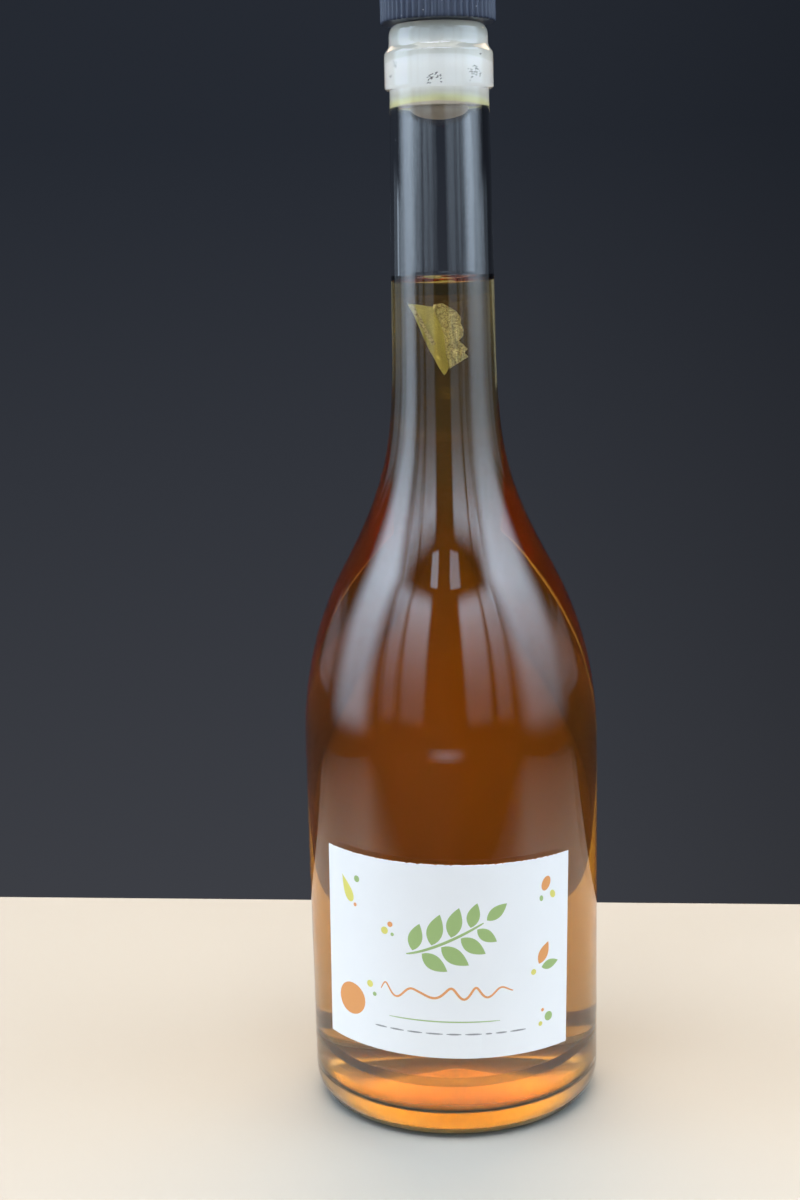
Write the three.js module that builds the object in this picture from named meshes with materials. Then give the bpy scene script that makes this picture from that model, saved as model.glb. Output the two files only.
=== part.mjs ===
// Vinegar bottle: tall clear glass, its vinegar, a paper label and a stopper with a ribbed head.
// Millimetres, +Z up. The origin is the middle of the foot, on the table, and the label faces -Y.
import * as THREE from 'three';
import { mergeVertices } from 'three/addons/utils/BufferGeometryUtils.js';

// Facets round the glass; the label spans a whole number of them
const FACETS = 48;
const FACET_ANGLE = 2 * Math.PI / FACETS;

// Foot and heel of the glass
const FOOT_INNER_R = 26.8;
const FOOT_OUTER_R = 31.2;
const PUNT_HEIGHT = 4.5;
const HEEL_HEIGHT = 7.5;

// Body: a straight side that widens slightly upwards, then the shoulder
const BODY_LOW_R = 37.15;
const BODY_HIGH_R = 37.55;
const SHOULDER_START = 90;

// Where the shoulder turns from bulging to hollow, and its slope there (radius lost for each mm up)
const TURN_R = 26.2;
const TURN_HEIGHT = 140;
const TURN_SLOPE = 0.55;

// How far each end of the two shoulder curves holds its direction, measured upwards
const BULGE_PULL_LOW = 9;
const BULGE_PULL_HIGH = 21.8;
const HOLLOW_PULL_LOW = 26.3;
const HOLLOW_PULL_HIGH = 42;

// Neck
const NECK_START = 216.8;
const NECK_LOW_R = 12.7;
const NECK_TOP = 256.2;
const NECK_TOP_R = 12.1;

// Finish: the ring under the mouth, and the lip
const RING_R = 13.25;
const RING_FILLET = 0.9;
const RING_TOP = 265;
const RING_SLOPE_HEIGHT = 1.8;
const LIP_R = 12.05;
const MOUTH_HEIGHT = 271.6;
const LIP_ROUND_WIDTH = 1.9;
const LIP_ROUND_HEIGHT = 2.8;

// Inside of the glass; the bore widens slightly from the mouth down to the neck
const BODY_WALL = 3.1;
const NECK_WALL = 1.85;
const WALL_THINS_FROM = 95;
const WALL_THIN_AT = 190;
const MOUTH_R = 9.5;
const MOUTH_EASE = 0.4;
const BORE_R = 10.3;
const BORE_WIDENS_AT = 251.5;
const FLOOR_MIDDLE = 8;
const FLOOR_EDGE = 5.6;
const FLOOR_EDGE_R = 29.5;
const CORNER_HEIGHT = 5.5;

// Clearance between pieces that touch in the real bottle
const GAP = 0.3;

// Vinegar
const VINEGAR_LEVEL = 210.2;

// Stopper: a pale shank in the neck under a dark ribbed head
const SHANK_LENGTH = 22.3;
const SHANK_BOSS_R = 7.2;
const SHANK_BOSS_DEPTH = 2.7;
const HEAD_R = 14;
const HEAD_HEIGHT = 11.4;
const HEAD_ROUND = 1.3;
const HEAD_FOOT_CHAMFER = 0.4;
const RIBS = 54;
const RIB_DEPTH = 0.45;

// Label: applied slightly crooked, its right end low
const LABEL_FACETS = 14;
const LABEL_HEIGHT = 49.7;
const LABEL_MIDDLE = 47.1;
const LABEL_TILT = THREE.MathUtils.degToRad(1.5);
const LABEL_THICKNESS = 0.15;
const LABEL_CLEARANCE = 0.1;

// Points of one curve of an outline, without its first point
function along(curve, count) {
  return curve.getPoints(count).slice(1);
}

// A quarter of an ellipse from one level and upright corner point to another
function quarter(centreR, centreZ, width, height, startAngle, endAngle, count) {
  const clockwise = endAngle < startAngle;
  const arc = new THREE.EllipseCurve(centreR, centreZ, width, height, startAngle, endAngle, clockwise);
  return along(arc, count);
}

// The two shoulder curves: the bulge over the body and the hollow that runs out into the neck
function shoulderCurves() {
  const neckTaper = (NECK_LOW_R - NECK_TOP_R) / (NECK_TOP - NECK_START);
  const turn = new THREE.Vector2(TURN_R, TURN_HEIGHT);
  const bulge = new THREE.CubicBezierCurve(
    new THREE.Vector2(BODY_HIGH_R, SHOULDER_START),
    new THREE.Vector2(BODY_HIGH_R, SHOULDER_START + BULGE_PULL_LOW),
    new THREE.Vector2(TURN_R + TURN_SLOPE * BULGE_PULL_HIGH, TURN_HEIGHT - BULGE_PULL_HIGH),
    turn,
  );
  const hollow = new THREE.CubicBezierCurve(
    turn,
    new THREE.Vector2(TURN_R - TURN_SLOPE * HOLLOW_PULL_LOW, TURN_HEIGHT + HOLLOW_PULL_LOW),
    new THREE.Vector2(NECK_LOW_R + neckTaper * HOLLOW_PULL_HIGH, NECK_START - HOLLOW_PULL_HIGH),
    new THREE.Vector2(NECK_LOW_R, NECK_START),
  );
  return { bulge, hollow };
}

// Outside radius of the straight side, used by the glass and by the label on it
function bodyRadius(height) {
  const share = (height - HEEL_HEIGHT) / (SHOULDER_START - HEEL_HEIGHT);
  return THREE.MathUtils.lerp(BODY_LOW_R, BODY_HIGH_R, share);
}

// Thickness of the glass wall at a height of its outside
function wallAt(height) {
  const share = THREE.MathUtils.smoothstep(height, WALL_THINS_FROM, WALL_THIN_AT);
  return THREE.MathUtils.lerp(BODY_WALL, NECK_WALL, share);
}

// Outline of the outside from the top of the heel to the top of the neck
function outerSide() {
  const { bulge, hollow } = shoulderCurves();
  return [
    new THREE.Vector2(BODY_LOW_R, HEEL_HEIGHT),
    new THREE.Vector2(BODY_HIGH_R, SHOULDER_START),
    ...along(bulge, 11),
    ...along(hollow, 12),
    new THREE.Vector2(NECK_TOP_R, NECK_TOP),
  ];
}

// The same stretch on the inside: each curve point moved in along its normal
function innerSide(inset) {
  const { bulge, hollow } = shoulderCurves();
  const moved = (curve, count) => {
    const points = [];
    for (let i = 1; i <= count; i++) {
      const point = curve.getPoint(i / count);
      const tangent = curve.getTangent(i / count);
      const depth = wallAt(point.y) + inset;
      points.push(new THREE.Vector2(point.x - tangent.y * depth, point.y + tangent.x * depth));
    }
    return points;
  };
  return [
    new THREE.Vector2(BODY_HIGH_R - BODY_WALL - inset, SHOULDER_START),
    ...moved(bulge, 9),
    ...moved(hollow, 10),
  ];
}

// Outline of the hollow from the middle of its floor up to the neck, moved inwards by inset
function cavityOutline(inset) {
  const wallR = BODY_LOW_R - BODY_WALL - inset;
  const floorLow = FLOOR_EDGE + inset;
  const dome = new THREE.QuadraticBezierCurve(
    new THREE.Vector2(0, FLOOR_MIDDLE + inset),
    new THREE.Vector2(FLOOR_EDGE_R / 2, floorLow),
    new THREE.Vector2(FLOOR_EDGE_R, floorLow),
  );
  const cornerHeight = CORNER_HEIGHT - inset;
  return [
    ...dome.getPoints(4),
    ...quarter(FLOOR_EDGE_R, floorLow + cornerHeight, wallR - FLOOR_EDGE_R, cornerHeight, -Math.PI / 2, 0, 5),
    ...innerSide(inset),
  ];
}

// Outline of the mouth: ring, lip and the rounded edge, up the outside and back to the bore
function finishOutline() {
  const lipLow = RING_TOP + RING_SLOPE_HEIGHT;
  const roundLow = MOUTH_HEIGHT - LIP_ROUND_HEIGHT;
  const roundR = LIP_R - LIP_ROUND_WIDTH;
  const ringLow = NECK_TOP + RING_FILLET;
  return [
    ...quarter(RING_R - RING_FILLET, ringLow, RING_FILLET, RING_FILLET, -Math.PI / 2, 0, 2),
    new THREE.Vector2(RING_R, RING_TOP),
    new THREE.Vector2(LIP_R, lipLow),
    new THREE.Vector2(LIP_R, roundLow),
    ...quarter(roundR, roundLow, LIP_ROUND_WIDTH, LIP_ROUND_HEIGHT, 0, Math.PI / 2, 5),
    new THREE.Vector2(MOUTH_R + MOUTH_EASE, MOUTH_HEIGHT),
    new THREE.Vector2(MOUTH_R, MOUTH_HEIGHT - MOUTH_EASE),
  ];
}

// A solid of revolution about Z from an outline of (radius, height) points
function turned(outline, facets = FACETS) {
  const lathe = new THREE.LatheGeometry(outline, facets);
  lathe.rotateX(Math.PI / 2);
  return closed(lathe);
}

// Merges shared corners, so that the surface is one closed skin
function closed(geometry) {
  geometry.deleteAttribute('normal');
  geometry.deleteAttribute('uv');
  const merged = mergeVertices(geometry, 1e-4);
  merged.computeVertexNormals();
  return merged;
}

function bottleGeometry() {
  const punt = new THREE.QuadraticBezierCurve(
    new THREE.Vector2(0, PUNT_HEIGHT),
    new THREE.Vector2(FOOT_INNER_R * 0.6, PUNT_HEIGHT),
    new THREE.Vector2(FOOT_INNER_R, 0),
  );
  const heelWidth = BODY_LOW_R - FOOT_OUTER_R;
  const outline = [
    ...punt.getPoints(4),
    new THREE.Vector2(FOOT_OUTER_R, 0),
    ...quarter(FOOT_OUTER_R, HEEL_HEIGHT, heelWidth, HEEL_HEIGHT, -Math.PI / 2, 0, 5).slice(0, -1),
    ...outerSide(),
    ...finishOutline(),
    new THREE.Vector2(BORE_R, BORE_WIDENS_AT),
    ...cavityOutline(0).reverse(),
  ];
  return turned(outline);
}

function vinegarGeometry() {
  const wetted = cavityOutline(GAP);
  const above = wetted.findIndex((point) => point.y > VINEGAR_LEVEL);
  const low = wetted[above - 1];
  const high = wetted[above];
  const edge = low.clone().lerp(high, (VINEGAR_LEVEL - low.y) / (high.y - low.y));
  return turned([...wetted.slice(0, above), edge, new THREE.Vector2(0, VINEGAR_LEVEL)]);
}

// The shank ends in a flat rim round a shallow domed boss
function shankGeometry() {
  const low = MOUTH_HEIGHT - SHANK_LENGTH;
  const rimZ = low + SHANK_BOSS_DEPTH;
  const lowR = BORE_R - GAP;
  const highR = MOUTH_R - GAP;
  return turned([
    new THREE.Vector2(0, low),
    ...quarter(0, rimZ, SHANK_BOSS_R, SHANK_BOSS_DEPTH, -Math.PI / 2, 0, 4),
    new THREE.Vector2(lowR, rimZ),
    new THREE.Vector2(highR, MOUTH_HEIGHT - MOUTH_EASE),
    new THREE.Vector2(highR, MOUTH_HEIGHT),
    new THREE.Vector2(0, MOUTH_HEIGHT),
  ]);
}

// The head is turned with two facets for each rib, then every other corner line is sunk
function headGeometry() {
  const low = MOUTH_HEIGHT + GAP;
  const high = low + HEAD_HEIGHT;
  const geometry = turned([
    new THREE.Vector2(0, low),
    new THREE.Vector2(HEAD_R - HEAD_FOOT_CHAMFER, low),
    new THREE.Vector2(HEAD_R, low + HEAD_FOOT_CHAMFER),
    new THREE.Vector2(HEAD_R, high - HEAD_ROUND),
    ...quarter(HEAD_R - HEAD_ROUND, high - HEAD_ROUND, HEAD_ROUND, HEAD_ROUND, 0, Math.PI / 2, 2),
    new THREE.Vector2(0, high),
  ], RIBS * 2);
  const position = geometry.getAttribute('position');
  const ribAngle = 2 * Math.PI / RIBS;
  for (let i = 0; i < position.count; i++) {
    const x = position.getX(i);
    const y = position.getY(i);
    const radius = Math.hypot(x, y);
    const onSide = radius > HEAD_R - HEAD_ROUND / 2;
    const turns = Math.abs(Math.atan2(x, -y) / ribAngle) % 1;
    if (onSide && Math.abs(turns - 0.5) < 0.25) {
      const share = (radius - RIB_DEPTH) / radius;
      position.setXY(i, x * share, y * share);
    }
  }
  geometry.computeVertexNormals();
  return geometry;
}

// The label is a flat sheet, turned by its tilt and then wrapped round the body
function labelGeometry() {
  const wrapR = bodyRadius(LABEL_MIDDLE);
  const width = LABEL_FACETS * FACET_ANGLE * wrapR;
  const sheet = new THREE.BoxGeometry(width, LABEL_THICKNESS, LABEL_HEIGHT, LABEL_FACETS, 1, 1);
  const position = sheet.getAttribute('position');
  const cos = Math.cos(LABEL_TILT);
  const sin = Math.sin(LABEL_TILT);
  for (let i = 0; i < position.count; i++) {
    const x = position.getX(i);
    const z = position.getZ(i);
    const height = LABEL_MIDDLE + z * cos - x * sin;
    const angle = (x * cos + z * sin) / wrapR;
    const proud = LABEL_CLEARANCE + LABEL_THICKNESS / 2 - position.getY(i);
    const radius = bodyRadius(height) + proud;
    position.setXYZ(i, radius * Math.sin(angle), -radius * Math.cos(angle), height);
  }
  return closed(sheet);
}

function piece(name, geometry, look) {
  const mesh = new THREE.Mesh(geometry, new THREE.MeshStandardMaterial(look));
  mesh.name = name;
  return mesh;
}

const clearGlass = { color: 0xdfe8e2, roughness: 0.03, metalness: 0, transparent: true, opacity: 0.35 };
const amber = { color: 0xb0681e, roughness: 0.05, metalness: 0, transparent: true, opacity: 0.8 };
const paper = { color: 0xe8ecf4, roughness: 0.75, metalness: 0 };
const darkPlastic = { color: 0x1c2029, roughness: 0.45, metalness: 0 };
const palePlastic = { color: 0xe9ebe2, roughness: 0.6, metalness: 0 };

const bottle = new THREE.Group();
bottle.add(
  piece('bottle', bottleGeometry(), clearGlass),
  piece('vinegar', vinegarGeometry(), amber),
  piece('label', labelGeometry(), paper),
  piece('stopper_shank', shankGeometry(), palePlastic),
  piece('stopper_head', headGeometry(), darkPlastic),
);

export default bottle;
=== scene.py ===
import math
import random

import bpy
from mathutils import Matrix, Vector, noise
from mathutils.geometry import delaunay_2d_cdt


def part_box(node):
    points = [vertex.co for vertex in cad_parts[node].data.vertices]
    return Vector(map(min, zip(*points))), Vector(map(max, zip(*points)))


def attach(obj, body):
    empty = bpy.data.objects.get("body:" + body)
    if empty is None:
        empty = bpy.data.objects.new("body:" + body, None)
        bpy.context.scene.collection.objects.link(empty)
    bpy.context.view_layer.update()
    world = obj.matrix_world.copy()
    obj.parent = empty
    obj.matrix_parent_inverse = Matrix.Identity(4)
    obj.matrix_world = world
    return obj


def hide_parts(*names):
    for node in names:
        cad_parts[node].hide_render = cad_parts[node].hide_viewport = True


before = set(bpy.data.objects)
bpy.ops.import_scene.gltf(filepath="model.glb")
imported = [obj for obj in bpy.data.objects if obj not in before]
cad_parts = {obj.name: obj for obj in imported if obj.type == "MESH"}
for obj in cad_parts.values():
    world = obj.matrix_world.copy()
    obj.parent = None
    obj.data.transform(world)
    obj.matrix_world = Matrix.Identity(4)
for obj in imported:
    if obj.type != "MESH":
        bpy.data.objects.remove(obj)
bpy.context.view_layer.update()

MM = 0.001

# What the frame gives
mouth_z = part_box("bottle")[1].z
level_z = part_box("vinegar")[1].z
shank_low_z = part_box("stopper_shank")[0].z
head_low_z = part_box("stopper_head")[0].z
head_high_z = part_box("stopper_head")[1].z

# Outline of the glass, as in the part's source
FOOT_INNER_R = 26.8 * MM
FOOT_OUTER_R = 31.2 * MM
PUNT_HEIGHT = 4.5 * MM
PUNT_PULL = 0.6
HEEL_HEIGHT = 7.5 * MM
BODY_LOW_R = 37.15 * MM
BODY_HIGH_R = 37.55 * MM
SHOULDER_START = 90 * MM
TURN_R = 26.2 * MM
TURN_HEIGHT = 140 * MM
TURN_SLOPE = 0.55
BULGE_PULL_LOW = 9 * MM
BULGE_PULL_HIGH = 21.8 * MM
HOLLOW_PULL_LOW = 26.3 * MM
HOLLOW_PULL_HIGH = 42 * MM
NECK_START = 216.8 * MM
NECK_LOW_R = 12.7 * MM
NECK_TOP = 256.2 * MM
NECK_TOP_R = 12.1 * MM
RING_R = 13.25 * MM
RING_FILLET = 0.9 * MM
RING_TOP = 265 * MM
RING_SLOPE_HEIGHT = 1.8 * MM
LIP_R = 12.05 * MM
LIP_ROUND_WIDTH = 1.9 * MM
LIP_ROUND_HEIGHT = 2.8 * MM
BODY_WALL = 3.1 * MM
NECK_WALL = 1.85 * MM
WALL_THINS_FROM = 95 * MM
WALL_THIN_AT = 190 * MM
MOUTH_R = 9.5 * MM
MOUTH_EASE = 0.4 * MM
BORE_R = 10.3 * MM
BORE_WIDENS_AT = 251.5 * MM
FLOOR_MIDDLE = 8 * MM
FLOOR_EDGE = 5.6 * MM
FLOOR_EDGE_R = 29.5 * MM
CORNER_HEIGHT = 5.5 * MM

# Stopper, as in the part's source
SHANK_BOSS_R = 7.2 * MM
SHANK_BOSS_DEPTH = 2.7 * MM
HEAD_R = 14 * MM
HEAD_ROUND = 1.3 * MM
RIBS = 54
RIB_DEPTH = 0.45 * MM

# Label, as in the part's source
LABEL_ARC = math.radians(105)
LABEL_HEIGHT = 49.7 * MM
LABEL_MIDDLE = 47.1 * MM
LABEL_TILT = math.radians(1.5)

# What fills the glass reaches this far into its wall, so that no air gap shows
SEAT = 0.05 * MM

# How finely round pieces are turned, and their outlines drawn
TURN_STEPS = 192
HAZE_STEPS = 64
FLOOR_STEPS = 16
CORNER_STEPS = 14
INNER_SIDE_STEPS = 24
INNER_SHOULDER_STEPS = 48
HEEL_STEPS = 12
SIDE_STEPS = 26
SHOULDER_STEPS = 52
NECK_STEPS = 14
BORE_STEPS = 10
ON_AXIS = 1e-7

# Camera, fitted to the photograph: its place, its aim, and its focal length in the photograph's pixels
CAMERA_DISTANCE = 481.3 * MM
CAMERA_HEIGHT = 217.7 * MM
CAMERA_ROUND = math.radians(4.0)
CAMERA_YAW = math.radians(-1.47)
CAMERA_PITCH = math.radians(10.29)
CAMERA_ROLL = math.radians(-1.3)
FOCAL_PIXELS = 1917
PHOTO_HEIGHT = 1200
SENSOR = 36


def make_camera():
    """The camera stands a little to the right of the label's middle and is held slightly askew."""
    forward = Vector((
        math.sin(CAMERA_YAW) * math.cos(CAMERA_PITCH),
        math.cos(CAMERA_YAW) * math.cos(CAMERA_PITCH),
        -math.sin(CAMERA_PITCH),
    ))
    level = forward.cross(Vector((0, 0, 1))).normalized()
    upright = level.cross(forward)
    right = level * math.cos(CAMERA_ROLL) + upright * math.sin(CAMERA_ROLL)
    up = upright * math.cos(CAMERA_ROLL) - level * math.sin(CAMERA_ROLL)
    place = Matrix((right, up, -forward)).transposed().to_4x4()
    place.translation = Vector((0, -CAMERA_DISTANCE, CAMERA_HEIGHT))
    data = bpy.data.cameras.new("camera")
    data.sensor_width = SENSOR
    data.lens = FOCAL_PIXELS / PHOTO_HEIGHT * SENSOR
    data.clip_start = 0.01
    data.clip_end = 20
    camera = bpy.data.objects.new("camera", data)
    camera.matrix_world = Matrix.Rotation(CAMERA_ROUND, 4, "Z") @ place
    bpy.context.scene.collection.objects.link(camera)
    bpy.context.scene.camera = camera


# Curves of an outline, as lists of (radius, height)

def bezier(ends, count):
    """Points of a cubic curve, without its first one."""
    a, b, c, d = (Vector(p) for p in ends)
    points = []
    for i in range(1, count + 1):
        t = i / count
        u = 1 - t
        points.append(a * u ** 3 + b * 3 * t * u * u + c * 3 * t * t * u + d * t ** 3)
    return points


def ellipse(centre, width, height, start, end, count):
    """Part of an ellipse between two angles in degrees, without its first point."""
    points = []
    for i in range(1, count + 1):
        a = math.radians(start + (end - start) * i / count)
        points.append(Vector((centre[0] + width * math.cos(a), centre[1] + height * math.sin(a))))
    return points


def straight(start, end, count):
    """Evenly spaced points of a straight stretch, without its first one."""
    return [Vector(start).lerp(Vector(end), i / count) for i in range(1, count + 1)]


def smooth_share(value, low, high):
    t = min(max((value - low) / (high - low), 0), 1)
    return t * t * (3 - 2 * t)


def body_radius(height):
    share = (height - HEEL_HEIGHT) / (SHOULDER_START - HEEL_HEIGHT)
    return BODY_LOW_R + (BODY_HIGH_R - BODY_LOW_R) * share


def wall_at(height):
    return BODY_WALL + (NECK_WALL - BODY_WALL) * smooth_share(height, WALL_THINS_FROM, WALL_THIN_AT)


def shoulder_side(count):
    """The bulge over the body and the hollow that runs out into the neck, bottom to top."""
    taper = (NECK_LOW_R - NECK_TOP_R) / (NECK_TOP - NECK_START)
    turn = (TURN_R, TURN_HEIGHT)
    bulge = bezier((
        (BODY_HIGH_R, SHOULDER_START),
        (BODY_HIGH_R, SHOULDER_START + BULGE_PULL_LOW),
        (TURN_R + TURN_SLOPE * BULGE_PULL_HIGH, TURN_HEIGHT - BULGE_PULL_HIGH),
        turn,
    ), count)
    hollow = bezier((
        turn,
        (TURN_R - TURN_SLOPE * HOLLOW_PULL_LOW, TURN_HEIGHT + HOLLOW_PULL_LOW),
        (NECK_LOW_R + taper * HOLLOW_PULL_HIGH, NECK_START - HOLLOW_PULL_HIGH),
        (NECK_LOW_R, NECK_START),
    ), count)
    return bulge + hollow


def moved_in(points, inset):
    """Each point moved in along its normal by the wall's thickness there."""
    moved = []
    for i, point in enumerate(points):
        before = points[max(i - 1, 0)]
        after = points[min(i + 1, len(points) - 1)]
        tangent = (after - before).normalized()
        depth = wall_at(point.y) + inset
        moved.append(Vector((point.x - tangent.y * depth, point.y + tangent.x * depth)))
    return moved


def cavity_outline(inset):
    """The hollow from the middle of its floor up to the top of the shoulder, moved in by inset."""
    wall_r = BODY_LOW_R - BODY_WALL - inset
    low = FLOOR_EDGE + inset
    floor = []
    for i in range(FLOOR_STEPS + 1):
        t = i / FLOOR_STEPS
        rise = (FLOOR_MIDDLE - FLOOR_EDGE) * (1 - t) ** 2
        floor.append(Vector((FLOOR_EDGE_R * t, low + rise)))
    corner_height = CORNER_HEIGHT - inset
    corner_low = (FLOOR_EDGE_R, low + corner_height)
    corner = ellipse(corner_low, wall_r - FLOOR_EDGE_R, corner_height, -90, 0, CORNER_STEPS)
    side_top = (BODY_HIGH_R - BODY_WALL - inset, SHOULDER_START)
    side = straight(corner[-1], side_top, INNER_SIDE_STEPS)
    return floor + corner + side + moved_in(shoulder_side(INNER_SHOULDER_STEPS), inset)


def finish_outline():
    """Ring, lip and rounded edge, up the outside and back to the bore."""
    lip_low = RING_TOP + RING_SLOPE_HEIGHT
    round_low = mouth_z - LIP_ROUND_HEIGHT
    round_r = LIP_R - LIP_ROUND_WIDTH
    ring_low = NECK_TOP + RING_FILLET
    shoulder_low = (RING_R, RING_TOP - 0.5 * MM)
    shoulder_high = (LIP_R, lip_low + 0.4 * MM)
    points = ellipse((RING_R - RING_FILLET, ring_low), RING_FILLET, RING_FILLET, -90, 0, 8)
    points += straight(points[-1], shoulder_low, 6)
    points += bezier((
        shoulder_low,
        (RING_R, RING_TOP + 0.3 * MM),
        (LIP_R, lip_low - 0.9 * MM),
        shoulder_high,
    ), 12)
    points += straight(shoulder_high, (LIP_R, round_low), 3)
    points += ellipse((round_r, round_low), LIP_ROUND_WIDTH, LIP_ROUND_HEIGHT, 0, 90, 14)
    ease_centre = (MOUTH_R + MOUTH_EASE, mouth_z - MOUTH_EASE)
    points += ellipse(ease_centre, MOUTH_EASE, MOUTH_EASE, 90, 180, 4)
    return points


def outside_outline():
    """The outside of the glass from the middle of the punt to the mouth and down the bore."""
    punt = []
    for i in range(FLOOR_STEPS + 1):
        t = i / FLOOR_STEPS
        lie = 2 * t * (1 - t) * FOOT_INNER_R * PUNT_PULL + t * t * FOOT_INNER_R
        punt.append(Vector((lie, PUNT_HEIGHT * (1 - t * t))))
    heel_width = BODY_LOW_R - FOOT_OUTER_R
    outline = punt + [Vector((FOOT_OUTER_R, 0))]
    outline += ellipse((FOOT_OUTER_R, HEEL_HEIGHT), heel_width, HEEL_HEIGHT, -90, 0, HEEL_STEPS)
    outline += straight(outline[-1], (BODY_HIGH_R, SHOULDER_START), SIDE_STEPS)
    outline += shoulder_side(SHOULDER_STEPS)
    outline += straight(outline[-1], (NECK_TOP_R, NECK_TOP), NECK_STEPS)
    outline += finish_outline()
    outline += straight(outline[-1], (BORE_R, BORE_WIDENS_AT), BORE_STEPS)
    return outline


# Meshes

def shown(name, data, nodes=()):
    """Links a mesh as a piece that rides with the bottle and stands for the given nodes."""
    piece = bpy.data.objects.new(name, data)
    bpy.context.scene.collection.objects.link(piece)
    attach(piece, "root")
    if nodes:
        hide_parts(*nodes)
    return piece


def mesh_from(name, vertices, faces, materials, sharp=40):
    """A smooth-shaded mesh, creased where faces meet at more than an angle in degrees."""
    data = bpy.data.meshes.new(name)
    data.from_pydata(vertices, [], faces)
    for material in materials:
        data.materials.append(material)
    data.shade_smooth()
    data.set_sharp_from_angle(angle=math.radians(sharp))
    return data


def turned(name, outline, material, steps=TURN_STEPS, wave=None):
    """A closed surface of revolution from an outline that starts and ends on the axis."""
    ring = [p for p in outline if p.x > ON_AXIS]
    count = len(ring)
    vertices = []
    for step in range(steps):
        angle = 2 * math.pi * step / steps
        for i, p in enumerate(ring):
            radius = p.x + (wave(i, angle, p) if wave else 0)
            vertices.append((radius * math.sin(angle), -radius * math.cos(angle), p.y))
    vertices.append((0, 0, outline[0].y))
    vertices.append((0, 0, outline[-1].y))
    first_tip = steps * count
    last_tip = first_tip + 1
    faces = []
    for step in range(steps):
        here = step * count
        there = (step + 1) % steps * count
        faces.append((first_tip, there, here))
        faces += [(here + i, there + i, there + i + 1, here + i + 1) for i in range(count - 1)]
        faces.append((last_tip, here + count - 1, there + count - 1))
    return mesh_from(name, vertices, faces, [material])


def left_about(outline):
    """The same outline with its inside on the left, as the triangulation wants it."""
    area = sum(a[0] * b[1] - b[0] * a[1] for a, b in zip(outline, outline[1:] + outline[:1]))
    return list(outline) if area > 0 else list(outline)[::-1]


def closed_sheet(name, vertices, faces, count, materials, looks, nodes=()):
    """Joins a front and a back layer of the same triangles, count vertices each, round their rim."""
    sides = dict.fromkeys((f[i], f[(i + 1) % 3]) for f in faces for i in range(3))
    rim = [(a, b) for a, b in sides if (b, a) not in sides]
    front = [tuple(f) for f in faces]
    back = [tuple(count + v for v in reversed(f)) for f in faces]
    walls = [(b, a, count + a, count + b) for a, b in rim]
    data = mesh_from(name, vertices, front + back + walls, materials)
    data.polygons.foreach_set("material_index", looks + [0] * (len(back) + len(walls)))
    data.validate()
    return shown(name, data, nodes)


# Shader groups that more than one material uses

def new_group(name, inputs, outputs):
    """A node group with named sockets; inputs are (name, kind, default) and outputs (name, kind)."""
    tree = bpy.data.node_groups.new(name, "ShaderNodeTree")
    for label, kind, value in inputs:
        socket = tree.interface.new_socket(label, in_out="INPUT", socket_type=kind)
        socket.default_value = value
    for label, kind in outputs:
        tree.interface.new_socket(label, in_out="OUTPUT", socket_type=kind)
    return tree, tree.nodes.new("NodeGroupInput"), tree.nodes.new("NodeGroupOutput")


def maths(tree, operation, *values):
    """A Math node; a value is a number or a socket."""
    node = tree.nodes.new("ShaderNodeMath")
    node.operation = operation
    for i, value in enumerate(values):
        if isinstance(value, (int, float)):
            node.inputs[i].default_value = value
        else:
            tree.links.new(value, node.inputs[i])
    return node.outputs[0]


def colour_mix(tree, share, first, second):
    node = tree.nodes.new("ShaderNodeMix")
    node.data_type = "RGBA"
    for socket, value in ((node.inputs[0], share), (node.inputs[6], first), (node.inputs[7], second)):
        if isinstance(value, bpy.types.NodeSocket):
            tree.links.new(value, socket)
        else:
            socket.default_value = value
    return node.outputs[2]


def mapped(tree, value, start, end, first=0, last=1, smooth=False):
    """A value taken from the range start to end into the range first to last, and kept there."""
    node = tree.nodes.new("ShaderNodeMapRange")
    if smooth:
        node.interpolation_type = "SMOOTHSTEP"
    for label, number in (("From Min", start), ("From Max", end), ("To Min", first), ("To Max", last)):
        node.inputs[label].default_value = number
    tree.links.new(value, node.inputs["Value"])
    return node.outputs[0]


def parts_of(tree, vector):
    """The three outputs x, y and z of a vector socket."""
    node = tree.nodes.new("ShaderNodeSeparateXYZ")
    tree.links.new(vector, node.inputs[0])
    return node.outputs


def build_mottle_group():
    """Two colours mixed in soft patches and fine grain, with the grain as a height."""
    tree, given, result = new_group("soft_mottle", [
        ("Colour", "NodeSocketColor", (1, 1, 1, 1)),
        ("Patch Colour", "NodeSocketColor", (0, 0, 0, 1)),
        ("Patch Scale", "NodeSocketFloat", 60),
        ("Grain Scale", "NodeSocketFloat", 2500),
        ("Amount", "NodeSocketFloat", 0.3),
    ], [("Colour", "NodeSocketColor"), ("Height", "NodeSocketFloat")])
    place = tree.nodes.new("ShaderNodeTexCoord").outputs["Object"]
    fields = []
    for scale, detail in (("Patch Scale", 3), ("Grain Scale", 2)):
        field = tree.nodes.new("ShaderNodeTexNoise")
        field.inputs["Detail"].default_value = detail
        tree.links.new(place, field.inputs["Vector"])
        tree.links.new(given.outputs[scale], field.inputs["Scale"])
        fields.append(field.outputs[0])
    blend = maths(tree, "MULTIPLY", maths(tree, "ADD", *fields), 0.5)
    share = maths(tree, "MULTIPLY", blend, given.outputs["Amount"])
    mixed = colour_mix(tree, share, given.outputs["Colour"], given.outputs["Patch Colour"])
    tree.links.new(mixed, result.inputs["Colour"])
    tree.links.new(fields[1], result.inputs["Height"])
    return tree


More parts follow.
